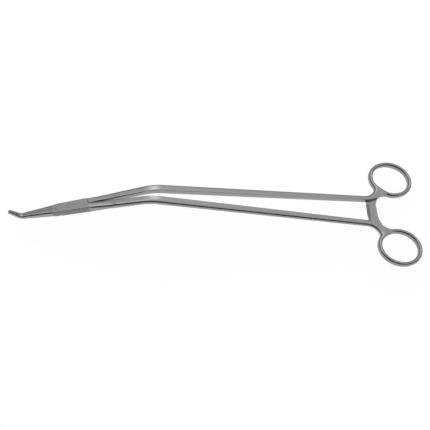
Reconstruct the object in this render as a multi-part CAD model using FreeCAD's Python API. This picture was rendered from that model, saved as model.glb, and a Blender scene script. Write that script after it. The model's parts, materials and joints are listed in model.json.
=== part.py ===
import FreeCAD, Part
import math
import os

from FreeCAD import Placement, Rotation, Vector

# A long ringed clamp with a box lock, angled shanks and fine upturned tips, closed and lying on a table.
# Millimetres and degrees. While it is modelled, the pivot is the origin: X runs along the lock towards
# the rings, Y across to the far ring and Z up along the pivot pin. It is laid on the table at the end.
# Two forgings make the clamp. The box half has the near ring and the far jaw, and the tongue half,
# which passes through it, has the far ring and the near jaw.

# Side view, along the middle of the instrument
jaw_length = 33.6              # pivot to the corner where the tips turn up
tip_length = 9.6               # that corner to the end of the tips
tip_bend = 64.0
tip_bend_radius = 4.2
front_length = 52.0            # pivot to the corner of the bend in the shanks
shank_bend = 29.7
shank_bend_radius = 22.0
handle_length = 159.3          # that corner to the centres of the finger rings

# Box lock
lock_thickness = 6.0
lock_front = 9.3               # pivot to the front edge of the cheeks
lock_rear = 12.0               # pivot to their rear edge
lock_front_width = 6.1
lock_rear_width = 7.2
lock_edge_radius = 0.7
front_edge_slant = 2.4         # how far the cheeks' front edge runs back on the open side
rear_edge_slant = 1.2          # how far their rear edge runs forward on the open side
front_wall_length = 7.0        # side wall that carries the far jaw
rear_wall_length = 9.0         # side wall that carries the near shank
tongue_thickness = 2.0
tongue_play = 0.05             # between the tongue and each cheek
wall_play = 0.12               # between the tongue and the side walls, lock shut
shoulder_play = 0.16           # between the tongue half's shoulders and the edges of the cheeks
pin_diameter = 2.6
pin_play = 0.04                # radial, in the bore of the tongue
pin_end_chamfer = 0.12

# Jaws and tips
jaw_start = 11.3               # pivot to where both jaws begin, ahead of the lock
jaw_root_height = 5.3
jaw_end_width = 1.85           # each jaw
jaw_end_height = 3.3
tip_root_width = 1.55
tip_root_height = 2.7
tip_end_width = 1.2
tip_end_height = 2.3
tip_nose_length = 0.9          # the rounded end
jaw_gap = 0.06                 # between the jaws, teeth in mesh
tooth_pitch = 0.9
tooth_depth = 0.28
tooth_land = 0.08              # flat left on the crest of a tooth
plain_end = 0.35               # no teeth nearer than this to the end of a stretch
round_share = 0.4              # radius of the outer corners, as a share of the height
inner_edge_radius = 0.3

# Shanks
shank_split = 0.3              # between the shanks as they leave the lock
shoulder_length = 3.0          # over which a shank thins down from the lock
neck_inner = 0.3               # inner face from the middle, where the neck ends
neck_width = 3.65
neck_height = 4.7
bend_inner = 1.35              # inner face from the middle, where the bend starts
bend_growth = 0.7              # how much further out the bend ends than it starts
bend_width = 4.1
bend_height = 4.2
handle_inner = 7.2             # inner face from the middle, where the handle shank ends
handle_width = 3.45
handle_height = 3.7
shank_edge_radius = 1.35       # on the outer side of the shanks

# Finger rings
ring_offset = 24.4             # ring centre from the middle
ring_half_length = 14.0        # centre line of the band
ring_half_width = 11.65
band_thickness = 2.4
band_height = 5.2
root_start = 23.0              # ring centres back to where the handle shank ends
root_outer_meets = 33.0        # where the root's sides run into the band, as angles round the ring
root_inner_meets = 72.0        # from its shank end
root_outer_turn = 78.0
root_inner_turn = 27.0
root_inner_radius = 25.0

# Ratchet
ratchet_centre = 16.15         # arms, back from the ring centres
arm_width = 4.5
arm_reach = 4.0                # past the middle
arm_end_radius = 1.1
arm_edge_chamfer = 0.35
arm_flare_radius = 18.0        # of the side that widens to the ring
arm_flare_turn = 38.0
ratchet_pitch = 1.5
ratchet_tooth_height = 0.5
ratchet_tooth_count = 6
ratchet_tooth_crest = 0.1      # flat left on top of each tooth
ratchet_tooth_start = -3.9     # first tooth of the far arm, from the middle
ratchet_tooth_sink = 0.3       # how far the teeth are let into the arm's body
ratchet_play = 0.04            # from the middle of the thickness to the crests, arms sprung apart

turn_steps = 8                 # sections in each bend
nose_angles = (0, 20, 40, 60, 80)
tilt_trials = 5                # turns that are tried to lay the clamp on the table
same_place = 0.001             # points nearer than this are one point

# Far enough sideways to clear the lock
outside = 2 * lock_rear_width

# Near side of the far ring's band
band_near = ring_offset - ring_half_width - band_thickness / 2


def along(x, z, slope):
    """Place a section on the path: its X follows the path towards the rings at a slope in degrees."""
    return Placement(Vector(x, 0, z), Rotation(Vector(0, 1, 0), -slope))


def on_front(x):
    return along(x, 0, 0)


def on_shank_bend(share):
    """A share of the way round the bend in the shanks, from the lock side."""
    turned = math.radians(shank_bend * share)
    tangent = shank_bend_radius * math.tan(math.radians(shank_bend / 2))
    x = front_length - tangent + shank_bend_radius * math.sin(turned)
    z = shank_bend_radius * (math.cos(turned) - 1)
    return along(x, z, -shank_bend * share)


def on_handle(back):
    """A distance back from the ring centres towards the bend."""
    run = handle_length - back
    turned = math.radians(shank_bend)
    return along(front_length + run * math.cos(turned), -run * math.sin(turned), -shank_bend)


def on_tip_bend(share):
    """A share of the way round the bend at the root of the tips, from the jaw side."""
    turned = math.radians(tip_bend * share)
    tangent = tip_bend_radius * math.tan(math.radians(tip_bend / 2))
    x = -jaw_length + tangent - tip_bend_radius * math.sin(turned)
    z = tip_bend_radius * (1 - math.cos(turned))
    return along(x, z, -tip_bend * share)


def on_tip(run):
    """A distance from the corner at the root of the tips towards their ends."""
    turned = math.radians(tip_bend)
    return along(-jaw_length - run * math.cos(turned), run * math.sin(turned), -tip_bend)


handle_place = on_handle(0)


def rounded_outline(left, right, height, left_radius, right_radius):
    """A closed outline across the path, flat above and below, with its corners rounded."""
    top = height / 2
    corners = [
        (right - right_radius, top - right_radius, right_radius, 0),
        (left + left_radius, top - left_radius, left_radius, 90),
        (left + left_radius, left_radius - top, left_radius, 180),
        (right - right_radius, right_radius - top, right_radius, 270),
    ]
    rounds = []
    for y, z, radius, start in corners:
        turn = [math.radians(start + step) for step in (0, 45, 90)]
        rounds.append([Vector(0, y + radius * math.cos(t), z + radius * math.sin(t)) for t in turn])
    edges = []
    for here, following in zip(rounds, rounds[1:] + rounds[:1]):
        edges.append(Part.Arc(*here).toShape())
        edges.append(Part.LineSegment(here[2], following[0]).toShape())
    return Part.Wire(edges)


def placed(shape, place):
    moved = shape.copy()
    moved.Placement = place.multiply(moved.Placement)
    return moved


def bar(sections, ruled=True):
    """A solid through rounded outlines: (place, inner, outer, height, outer radius) for each."""
    wires = []
    for place, inner, outer, height, radius in sections:
        outline = rounded_outline(inner, outer, height, min(inner_edge_radius, radius), radius)
        wires.append(placed(outline, place))
    return outward(Part.makeLoft(wires, True, ruled))


def outward(solid):
    if solid.Volume < 0:
        solid.reverse()
    return solid


def plan_prism(points, bottom, top):
    """An outline in the XY plane, as a prism between two heights."""
    corners = [Vector(x, y, bottom) for x, y in points]
    face = Part.Face(Part.makePolygon(corners + corners[:1]))
    return outward(face.extrude(Vector(0, 0, top - bottom)))


def mirrored(shape):
    return outward(shape.mirror(Vector(0, 0, 0), Vector(0, 1, 0)))


def one_solid(shape):
    """The body of a result, without any sliver that a cut has left beside it."""
    return max(shape.removeSplitter().Solids, key=lambda solid: solid.Volume)


def lock_half_width(x):
    share = (x + lock_front) / (lock_front + lock_rear)
    return (lock_front_width + share * (lock_rear_width - lock_front_width)) / 2


def lock_envelope(height):
    """The tapered outside of the lock, long enough for every piece that is cut from it."""
    wires = []
    for x in (-lock_front - jaw_start, lock_rear + 2 * shoulder_length):
        side = lock_half_width(x)
        outline = rounded_outline(-side, side, height, lock_edge_radius, lock_edge_radius)
        wires.append(placed(outline, on_front(x)))
    return outward(Part.makeLoft(wires, True, True))


def point_at(start, end, y):
    """The x at which the line through two plan points reaches a given y."""
    share = (y - start[1]) / (end[1] - start[1])
    return start[0] + share * (end[0] - start[0])


def shifted(start, end, distance):
    """The same line moved square to itself, to the left of its direction."""
    run_x = end[0] - start[0]
    run_y = end[1] - start[1]
    length = math.hypot(run_x, run_y)
    move_x = -run_y / length * distance
    move_y = run_x / length * distance
    return (start[0] + move_x, start[1] + move_y), (end[0] + move_x, end[1] + move_y)


# Lines of the lock in plan. The cheeks' slanted edges leave room for the shoulders of the tongue half.
front_wall_end = front_wall_length - lock_front
rear_wall_end = lock_rear - rear_wall_length
front_wall = ((-lock_front, 0), (front_wall_end, lock_half_width(front_wall_end)))
rear_wall = ((lock_rear, 0), (rear_wall_end, -lock_half_width(rear_wall_end)))
front_edge = ((-lock_front, 0), (front_edge_slant - lock_front, -lock_front_width / 2))
rear_edge = ((lock_rear, 0), (lock_rear - rear_edge_slant, lock_rear_width / 2))
tongue_end = lock_rear + shoulder_length / 2


def passage(front_line, rear_line, front_side, rear_side):
    """The plan of the way through the box, between the side walls."""
    front_x = point_at(*front_line, outside)
    rear_x = point_at(*rear_line, -outside)
    return [
        (point_at(*front_line, -front_side), -front_side),
        (front_x, outside),
        (tongue_end, outside),
        (tongue_end, rear_side),
        (point_at(*rear_line, rear_side), rear_side),
        (rear_x, -outside),
        (-jaw_start, -outside),
        (-jaw_start, -front_side),
    ]


def pin_bore(radius):
    height = 2 * lock_thickness
    return Part.makeCylinder(radius, height, Vector(0, 0, -lock_thickness))


def box_lock_body():
    """Two cheeks joined by two side walls, with the stub that carries the far jaw."""
    half = lock_thickness / 2
    cheeks = plan_prism([
        (-lock_front, 0),
        (-lock_front, outside),
        (rear_edge[1][0], outside),
        rear_edge[1],
        (lock_rear, 0),
        (lock_rear, -outside),
        (front_edge[1][0], -outside),
        front_edge[1],
    ], -half, half)
    body = cheeks.common(lock_envelope(lock_thickness))
    side = jaw_gap / 2
    stub_plan = [(-jaw_start, side), (-lock_front, side), (-lock_front, outside), (-jaw_start, outside)]
    stub = plan_prism(stub_plan, -half, half)
    body = body.fuse(stub.common(lock_envelope(jaw_root_height)))
    slot_half = tongue_thickness / 2 + tongue_play
    body = body.cut(plan_prism(passage(front_wall, rear_wall, 0, 0), -slot_half, slot_half))
    body = body.cut(pin_bore(pin_diameter / 2))
    return one_solid(body)


def lock_tongue():
    """The tongue between the cheeks, with the shoulders that carry the near jaw and the far shank."""
    half = lock_thickness / 2
    front_line = shifted(*front_wall, -wall_play)
    rear_line = shifted(*rear_wall, -wall_play)
    plate_plan = passage(front_line, rear_line, jaw_gap / 2, shank_split / 2)
    plate = plan_prism(plate_plan, -tongue_thickness / 2, tongue_thickness / 2)
    tongue = plate.common(lock_envelope(lock_thickness))
    start, end = shifted(*front_edge, -shoulder_play)
    front_shoulder = plan_prism([
        (point_at(start, end, -jaw_gap / 2), -jaw_gap / 2),
        (-jaw_start, -jaw_gap / 2),
        (-jaw_start, -outside),
        (point_at(start, end, -outside), -outside),
    ], -half, half)
    tongue = tongue.fuse(front_shoulder.common(lock_envelope(jaw_root_height)))
    start, end = shifted(*rear_edge, -shoulder_play)
    rear_shoulder = plan_prism([
        (point_at(start, end, shank_split / 2), shank_split / 2),
        (tongue_end, shank_split / 2),
        (tongue_end, outside),
        (point_at(start, end, outside), outside),
    ], -half, half)
    tongue = tongue.fuse(rear_shoulder.common(lock_envelope(neck_height)))
    tongue = tongue.cut(pin_bore(pin_diameter / 2 + pin_play))
    return one_solid(tongue)


def pivot_pin():
    pin = Part.makeCylinder(pin_diameter / 2, lock_thickness, Vector(0, 0, -lock_thickness / 2))
    rims = [edge for edge in pin.Edges if isinstance(edge.Curve, Part.Circle)]
    return pin.makeChamfer(pin_end_chamfer, rims)


def toothed_side(place, length, phase):
    """The cut that leaves teeth along a straight stretch of a jaw, plain at both ends."""
    flank = (tooth_pitch - tooth_land) / 2
    steps = 2 * int((length - 2 * plain_end) / tooth_pitch)
    first = (length - steps * tooth_pitch / 2) / 2
    plain = jaw_gap / 2
    points = []
    for step in range(steps + 1):
        middle = first + step * tooth_pitch / 2
        if step % 2 == phase:
            points.append((middle - tooth_land / 2, crest_inner))
            points.append((middle + tooth_land / 2, crest_inner))
        else:
            points.append((middle, crest_inner + tooth_depth))
    points.insert(0, (points[0][0] - flank / 2, plain))
    points.append((points[-1][0] + flank / 2, plain))
    points = [(-outside, plain)] + points + [(length + outside, plain)]
    points += [(length + outside, -tooth_pitch), (-outside, -tooth_pitch)]
    cut = plan_prism([(-run, y) for run, y in points], -lock_thickness, lock_thickness)
    return placed(cut, place)


# The crests of each jaw reach past the middle by half a tooth, less half the gap
crest_inner = (jaw_gap - tooth_depth) / 2
tip_tangent = tip_bend_radius * math.tan(math.radians(tip_bend / 2))


def far_jaw(phase):
    """The straight stretch of a jaw, from the lock to the turn of the tip."""
    length = jaw_length - tip_tangent - jaw_start
    start = on_front(-jaw_start)
    end = on_front(-jaw_start - length)
    blank = bar([
        (start, crest_inner, lock_half_width(-jaw_start), jaw_root_height, lock_edge_radius),
        (end, crest_inner, jaw_end_width, jaw_end_height, round_share * jaw_end_height),
    ])
    return one_solid(blank.cut(toothed_side(start, length, phase)))


def far_tip(phase):
    """The turn and the straight end of a jaw, with a rounded nose."""
    turn = []
    for step in range(turn_steps + 1):
        share = step / turn_steps
        width = jaw_end_width + share * (tip_root_width - jaw_end_width)
        height = jaw_end_height + share * (tip_root_height - jaw_end_height)
        turn.append((on_tip_bend(share), crest_inner, width, height, round_share * height))
    straight_end = tip_length - tip_nose_length
    nose = []
    for turned in nose_angles:
        share = math.sin(math.radians(turned))
        rounding = math.cos(math.radians(turned))
        height = tip_end_height * rounding
        width = tip_end_width * rounding
        place = on_tip(straight_end + share * tip_nose_length)
        nose.append((place, crest_inner, width, height, round_share * min(height, width)))
    cut = toothed_side(on_tip(tip_tangent), straight_end - tip_tangent, phase)
    return one_solid(bar(turn + nose).cut(cut))


def far_front_shank(start, start_inner, start_outer, start_height, start_radius):
    """From the lock to the end of the bend."""
    neck_end = start + shoulder_length
    neck = bar([
        (on_front(start), start_inner, start_outer, start_height, start_radius),
        (on_front(neck_end), neck_inner, neck_inner + neck_width, neck_height, shank_edge_radius),
    ])
    bend_outer = bend_inner + bend_width
    straight = bar([
        (on_front(neck_end), neck_inner, neck_inner + neck_width, neck_height, shank_edge_radius),
        (on_shank_bend(0), bend_inner, bend_outer, bend_height, shank_edge_radius),
    ])
    turn = []
    for step in range(turn_steps + 1):
        share = step / turn_steps
        shift = bend_growth * share
        place = on_shank_bend(share)
        turn.append((place, bend_inner + shift, bend_outer + shift, bend_height, shank_edge_radius))
    return one_solid(neck.fuse([straight, bar(turn, False)]))


def far_handle_shank():
    bend_end = handle_length - shank_bend_radius * math.tan(math.radians(shank_bend / 2))
    inner = bend_inner + bend_growth
    outer_end = handle_inner + handle_width
    return bar([
        (on_handle(bend_end), inner, inner + bend_width, bend_height, shank_edge_radius),
        (on_handle(root_start), handle_inner, outer_end, handle_height, shank_edge_radius),
    ])


def on_band(angle):
    """A plan point on the middle line of the far ring's band, by its angle from the shank end."""
    turned = math.radians(angle)
    x = -ring_half_length * math.cos(turned)
    y = ring_offset - ring_half_width * math.sin(turned)
    return Vector(x, y, 0)


def curving_away(start_y, radius, turn):
    """Points of an arc that leaves the line of the shank, with the arc's start at x = 0."""
    points = []
    for share in (0, 0.5, 1):
        turned = math.radians(turn * share)
        points.append(Vector(radius * math.sin(turned), start_y + radius * (1 - math.cos(turned)), 0))
    return points


def rounded_edges(solid, plan_edges, level, radius):
    """Round the edges that a prism's plan edges make at a height above and below the plan."""
    chosen = []
    for edge in solid.Edges:
        for plan_edge in plan_edges:
            middle = Vector(plan_edge.CenterOfMass)
            for z in (-level, level):
                middle.z = z
                if (edge.CenterOfMass - middle).Length < same_place:
                    chosen.append(edge)
    return solid.makeFillet(radius, chosen)


def ring_root():
    """The end of the shank, curving away on both sides until it runs into the band.

    Its sides start well behind the place where the handle shank ends, and are cut off there.
    """
    shank_outer = handle_inner + handle_width
    outer_end = on_band(root_outer_meets)
    outer_turn = math.radians(root_outer_turn)
    outer_radius = (outer_end.y - shank_outer) / (1 - math.cos(outer_turn))
    outer_arc = curving_away(shank_outer, outer_radius, root_outer_turn)
    inner_end = on_band(root_inner_meets)
    inner_arc = curving_away(handle_inner, root_inner_radius, root_inner_turn)
    run = (inner_end.y - inner_arc[2].y) / math.tan(math.radians(root_inner_turn))
    for point in outer_arc:
        point.x += outer_end.x - outer_radius * math.sin(outer_turn)
    for point in inner_arc:
        point.x += inner_end.x - run - root_inner_radius * math.sin(math.radians(root_inner_turn))
    back = -2 * root_start
    outer_start = Vector(back, shank_outer, 0)
    inner_start = Vector(back, handle_inner, 0)
    outer_side = [Part.LineSegment(outer_start, outer_arc[0]).toShape(), Part.Arc(*outer_arc).toShape()]
    inner_side = [
        Part.LineSegment(inner_start, inner_arc[0]).toShape(),
        Part.Arc(*inner_arc).toShape(),
        Part.LineSegment(inner_arc[2], inner_end).toShape(),
    ]
    ends = [
        Part.LineSegment(outer_arc[2], inner_end).toShape(),
        Part.LineSegment(inner_start, outer_start).toShape(),
    ]
    face = Part.Face(Part.Wire(Part.__sortEdges__(outer_side + inner_side + ends)))
    half = handle_height / 2
    face.translate(Vector(0, 0, -half))
    prism = outward(face.extrude(Vector(0, 0, handle_height)))
    prism = rounded_edges(prism, outer_side, half, shank_edge_radius)
    prism = rounded_edges(prism, inner_side, half, inner_edge_radius)
    shank = plan_prism([
        (2 * back, 0), (-root_start, 0), (-root_start, 2 * ring_offset), (2 * back, 2 * ring_offset),
    ], -handle_height, handle_height)
    return prism.cut(shank)


def far_finger_ring():
    """An oval band, with the root where the shank spreads into it."""
    centre = Vector(0, ring_offset, 0)
    line = Part.Wire([Part.Ellipse(centre, ring_half_length, ring_half_width).toShape()])
    section = Part.Wire([Part.Ellipse(Vector(0, 0, 0), band_height / 2, band_thickness / 2).toShape()])
    section.Placement = Placement(
        centre + Vector(ring_half_length, 0, 0),
        Rotation(Vector(0, 0, 1), Vector(1, 0, 0), Vector(0, -1, 0), "ZXY"),
    )
    band = outward(line.makePipeShell([section], True, True))
    return placed(one_solid(band.fuse(ring_root())), handle_place)


def quarter_round(centre, radius, start):
    """A quarter of a circle in plan, counterclockwise from a starting angle."""
    points = []
    for turn in (start, start + 45, start + 90):
        turned = math.radians(turn)
        points.append(centre + Vector(radius * math.cos(turned), radius * math.sin(turned), 0))
    return points


def ratchet_plan():
    """The outline of the far arm: a square side, a rounded end and a side that widens to the ring."""
    back = -ratchet_centre - arm_width / 2
    front = back + arm_width
    radius = arm_end_radius
    first_round = quarter_round(Vector(back + radius, radius - arm_reach, 0), radius, 180)
    second_round = quarter_round(Vector(front - radius, radius - arm_reach, 0), radius, 270)
    flare = []
    for share in (0, 0.5, 1):
        turned = math.radians(arm_flare_turn * share)
        rise = arm_flare_radius * (math.sin(math.radians(arm_flare_turn)) - math.sin(turned))
        flare.append(Vector(front + arm_flare_radius * (1 - math.cos(turned)), band_near - rise, 0))
    root = Vector(back, handle_inner + handle_width / 2, 0)
    lines = [
        Part.LineSegment(root, first_round[0]),
        Part.Arc(*first_round),
        Part.LineSegment(first_round[2], second_round[0]),
        Part.Arc(*second_round),
        Part.LineSegment(second_round[2], flare[0]),
        Part.Arc(*flare),
        Part.LineSegment(flare[2], root),
    ]
    return Part.Face(Part.Wire([line.toShape() for line in lines]))


def far_ratchet():
    """The lower arm: a flat bar with saw teeth on top, steep towards its own shank."""
    crest = -ratchet_play
    foot = crest - ratchet_tooth_height
    bottom = -handle_height / 2
    plan = ratchet_plan()
    plan.translate(Vector(0, 0, bottom))
    whole = outward(plan.extrude(Vector(0, 0, crest - bottom)))
    body = outward(plan.extrude(Vector(0, 0, foot - bottom)))
    rims = []
    for edge in body.Edges:
        box = edge.BoundBox
        if box.ZMax < bottom + same_place and box.YMin < -arm_reach / 2:
            rims.append(edge)
    body = body.makeChamfer(arm_edge_chamfer, rims)
    teeth = []
    x = -ratchet_centre - arm_width
    sunk = foot - ratchet_tooth_sink
    for step in range(ratchet_tooth_count):
        start = ratchet_tooth_start + step * ratchet_pitch
        steep = start + ratchet_pitch
        corners = [
            Vector(x, start, sunk),
            Vector(x, start, foot),
            Vector(x, steep - ratchet_tooth_crest, crest),
            Vector(x, steep, crest),
            Vector(x, steep, sunk),
        ]
        face = Part.Face(Part.makePolygon(corners + corners[:1]))
        teeth.append(outward(face.extrude(Vector(2 * arm_width, 0, 0))).common(whole))
    return one_solid(body.fuse(teeth))


def turned_over(arm):
    """The upper arm is the lower one turned over about the line of the handles."""
    turned = arm.copy()
    turned.rotate(Vector(0, 0, 0), Vector(1, 0, 0), 180)
    return turned


def on_table(tips, rings):
    """Turn the clamp until the turn of the tips and the rings both touch the table, and centre it."""
    tilt = shank_bend / 2
    for _ in range(tilt_trials):
        turn = Placement(Vector(0, 0, 0), Rotation(Vector(0, 1, 0), -tilt))
        tip_box = placed(tips, turn).optimalBoundingBox(False)
        ring_box = placed(rings, turn).optimalBoundingBox(False)
        span = ring_box.XMax - tip_box.XMin
        tilt += math.degrees(math.atan2(tip_box.ZMin - ring_box.ZMin, span))
    shift = Vector(-(ring_box.XMax + tip_box.XMin) / 2, 0, -min(tip_box.ZMin, ring_box.ZMin))
    return Placement(shift, Rotation(Vector(0, 1, 0), -tilt)), tilt


def assembly():
    """Every node of the clamp, still with the pivot at the origin."""
    far_ring = far_finger_ring()
    near_ring = mirrored(far_ring)
    lower_arm = far_ratchet()
    upper_arm = placed(turned_over(lower_arm), handle_place)
    lower_arm = placed(lower_arm, handle_place)
    half_width = lock_half_width(lock_rear)
    box_shank = far_front_shank(lock_rear, jaw_gap / 2, half_width, lock_thickness, lock_edge_radius)
    tongue_outer = lock_half_width(tongue_end)
    tongue_shank = far_front_shank(tongue_end, shank_split / 2, tongue_outer, neck_height, lock_edge_radius)
    handle = far_handle_shank()
    return {
        "box_lock_body": box_lock_body(),
        "box_half_jaw": far_jaw(0),
        "box_half_tip": far_tip(0),
        "box_half_front_shank": mirrored(box_shank),
        "box_half_handle_shank": mirrored(handle),
        "box_half_finger_ring": near_ring,
        "box_half_ratchet": one_solid(upper_arm.cut(near_ring)),
        "lock_tongue": lock_tongue(),
        "tongue_half_jaw": mirrored(far_jaw(1)),
        "tongue_half_tip": mirrored(far_tip(1)),
        "tongue_half_front_shank": tongue_shank,
        "tongue_half_handle_shank": handle,
        "tongue_half_finger_ring": far_ring,
        "tongue_half_ratchet": one_solid(lower_arm.cut(far_ring)),
        "pivot_pin": pivot_pin(),
    }


pieces = assembly()
tips = Part.makeCompound([pieces["box_half_tip"], pieces["tongue_half_tip"]])
rings = Part.makeCompound([pieces["box_half_finger_ring"], pieces["tongue_half_finger_ring"]])
table_place, tilt = on_table(tips, rings)

os.makedirs("parts", exist_ok=True)
for name, shape in pieces.items():
    laid = shape.transformed(table_place.toMatrix(), True)
    laid.exportStep("parts/" + name + ".step")
    print(name, laid.isValid(), len(laid.Solids), round(laid.Volume, 2))
print("pivot", table_place.Base, "axis", table_place.Rotation.multVec(Vector(0, 0, 1)), "tilt", tilt)
ring_centre = table_place.multVec(handle_place.Base)
print("middle of ring centres", ring_centre, "ring normal", tilt - shank_bend)
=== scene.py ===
import json
import logging
from dataclasses import dataclass, fields
from enum import Enum
from typing import TypeVar

import bmesh
import bpy
import numpy as np
from mathutils import Matrix, Vector

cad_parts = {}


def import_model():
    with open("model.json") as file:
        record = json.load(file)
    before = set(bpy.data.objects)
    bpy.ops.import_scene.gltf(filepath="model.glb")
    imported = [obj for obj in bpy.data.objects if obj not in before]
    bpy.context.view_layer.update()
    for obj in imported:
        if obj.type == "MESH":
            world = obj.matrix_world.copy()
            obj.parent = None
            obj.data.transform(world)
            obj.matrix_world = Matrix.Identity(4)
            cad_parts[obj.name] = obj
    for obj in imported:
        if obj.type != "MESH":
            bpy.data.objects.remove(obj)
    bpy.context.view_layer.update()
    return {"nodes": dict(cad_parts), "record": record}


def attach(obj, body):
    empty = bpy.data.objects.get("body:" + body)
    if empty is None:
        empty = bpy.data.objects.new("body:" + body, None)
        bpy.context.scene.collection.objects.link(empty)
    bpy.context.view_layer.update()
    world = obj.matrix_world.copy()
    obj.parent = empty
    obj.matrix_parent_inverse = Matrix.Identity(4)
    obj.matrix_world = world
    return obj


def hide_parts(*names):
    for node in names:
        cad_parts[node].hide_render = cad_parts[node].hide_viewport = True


# Looks of a long ringed surgical clamp in satin stainless steel, closed and lying on white.

logging.basicConfig(level=logging.INFO, format="%(message)s")
log = logging.getLogger("clamp")

MM = 0.001
ROUND_LIMIT = 0.48                # no corner radius is a larger share of its bar's height
CORNER_STEPS = 8                  # spans in each quarter circle of a bar's outline
FLAT_SHARES = (0.08, 0.5, 0.92)   # points on each flat, close to its ends so that it shades flat
TINY = 1e-9                       # keeps a division off zero
CLOSE = 1e-7                      # distances below this count as none


class Half(Enum):
    """The two forgings, with the side of the middle on which each one's shank and ring lie."""

    BOX = -1
    TONGUE = 1

    @property
    def body(self) -> str:
        """Name of the moving body that the forging's pieces ride on."""
        return "box_half" if self is Half.BOX else "tongue_half"

    @property
    def shank_side(self) -> int:
        """Side of the ring and shank: +1 is the far side."""
        return self.value

    @property
    def jaw_side(self) -> int:
        """Side of the jaw and tip, because the halves cross in the lock."""
        return -self.value


@dataclass
class Stations:
    """Sections along a path in the middle plane, one array entry for each section, in millimetres."""

    x: np.ndarray
    z: np.ndarray
    slope: np.ndarray


@dataclass
class Outline:
    """A rounded bar's outline at each station, across the path, in millimetres."""

    inner: np.ndarray
    outer: np.ndarray
    height: np.ndarray
    inner_radius: np.ndarray
    outer_radius: np.ndarray


Run = TypeVar("Run", Stations, Outline)


@dataclass(frozen=True)
class SideView:
    """The clamp's middle plane, seen from the side: the lock's line, the handles' and their crossing."""

    pivot: np.ndarray
    lock_line: np.ndarray
    pin_line: np.ndarray
    front_length: float
    handle_length: float
    shank_bend: float
    ring_offset: float
    shank_bend_radius: float = 22.0
    jaw_length: float = 33.6
    tip_bend: float = 64.0
    tip_bend_radius: float = 4.2

    @classmethod
    def from_record(cls, record: dict) -> "SideView":
        """Work out the middle plane from the joint and the finger ring mounts of the record.

        The lock's line through the pivot and the handles' line through the ring centres are
        crossed as two straight lines in the XZ plane.

        Args:
            record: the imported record.

        Returns:
            The side view, in millimetres and radians.
        """
        joint = record["behaviour"]["joints"][0]
        eyes = [mount for mount in record["mounts"] if mount["name"].endswith("ring_eye")]
        pivot = np.array(joint["pos_m"]) / MM
        pin_line = np.array(joint["axis"])
        pin_line = pin_line / np.linalg.norm(pin_line)
        lock_line = np.array([pin_line[2], 0.0, -pin_line[0]])
        centres = np.array([mount["pos_m"] for mount in eyes]) / MM
        ring_middle = centres.mean(axis=0)
        ring_normal = np.array(eyes[0]["axis"])
        handle_line = np.array([ring_normal[2], 0.0, -ring_normal[0]])
        handle_line = handle_line / np.linalg.norm(handle_line)
        crossing = np.array([lock_line[[0, 2]], handle_line[[0, 2]]]).T
        front, back = np.linalg.solve(crossing, (ring_middle - pivot)[[0, 2]])
        bend = np.arccos(np.clip(lock_line @ handle_line, -1, 1))
        offset = np.abs(centres[:, 1]).mean()
        return cls(pivot, lock_line, pin_line, float(front), float(back), float(bend), float(offset))

    def to_table(self, local: np.ndarray) -> np.ndarray:
        """Carry points from the pivot's frame, in millimetres, to the table's frame, in metres."""
        axes = np.array([self.lock_line, [0.0, 1.0, 0.0], self.pin_line])
        return (self.pivot + local @ axes) * MM

    def handle_place(self, local: np.ndarray) -> np.ndarray:
        """Carry points from the ring centres' frame, X along the handles, to the pivot's frame."""
        cosine, sine = np.cos(self.shank_bend), np.sin(self.shank_bend)
        run = self.handle_length + local[..., 0]
        x = self.front_length + run * cosine + local[..., 2] * sine
        z = local[..., 2] * cosine - run * sine
        return np.stack([x, local[..., 1], z], axis=-1)

    def from_rings(self, local: np.ndarray) -> np.ndarray:
        """Carry points from the ring centres' frame, in millimetres, to the table's, in metres."""
        return self.to_table(self.handle_place(local))

    def front(self, x: np.ndarray) -> Stations:
        """Stations on the lock's straight line, at distances from the pivot."""
        return Stations(x, np.zeros_like(x), np.zeros_like(x))

    def bend(self, share: np.ndarray) -> Stations:
        """Stations round the bend in the shanks: a circle tangent to both straight lines."""
        radius = self.shank_bend_radius
        turned = self.shank_bend * share
        x = self.bend_start + radius * np.sin(turned)
        return Stations(x, radius * (np.cos(turned) - 1), -turned)

    def handle(self, back: np.ndarray) -> Stations:
        """Stations on the handles' line, at distances back from the ring centres."""
        run = self.handle_length - back
        x = self.front_length + run * np.cos(self.shank_bend)
        return Stations(x, -run * np.sin(self.shank_bend), np.full_like(x, -self.shank_bend))

    def tip_turn(self, share: np.ndarray) -> Stations:
        """Stations round the turn at the root of the tips: a circle tangent to jaw and tip."""
        radius = self.tip_bend_radius
        turned = np.radians(self.tip_bend) * share
        x = self.tip_tangent - self.jaw_length - radius * np.sin(turned)
        return Stations(x, radius * (1 - np.cos(turned)), -turned)

    def tip(self, run: np.ndarray) -> Stations:
        """Stations on the tips' line, at distances from the corner at their root."""
        turned = np.radians(self.tip_bend)
        x = -self.jaw_length - run * np.cos(turned)
        return Stations(x, run * np.sin(turned), np.full_like(x, -turned))

    @property
    def bend_tangent(self) -> float:
        """Distance from the shanks' corner to either end of their bend."""
        return self.shank_bend_radius * float(np.tan(self.shank_bend / 2))

    @property
    def bend_end(self) -> float:
        """Distance back from the ring centres to where the bend ends."""
        return self.handle_length - self.bend_tangent

    @property
    def bend_start(self) -> float:
        """Distance from the pivot to where the bend starts."""
        return self.front_length - self.bend_tangent

    @property
    def tip_tangent(self) -> float:
        """Distance from the tips' corner to either end of their turn."""
        return self.tip_bend_radius * float(np.tan(np.radians(self.tip_bend) / 2))


def joined(*parts: Run) -> Run:
    """Put runs of stations, or of outlines, one after the other."""
    kind = type(parts[0])
    return kind(*(np.concatenate([getattr(part, item.name) for part in parts]) for item in fields(kind)))


def smooth_step(share: np.ndarray) -> np.ndarray:
    """Share of a way that starts and ends slowly: three squares less two cubes of the plain share."""
    return share * share * (3 - 2 * share)


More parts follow.
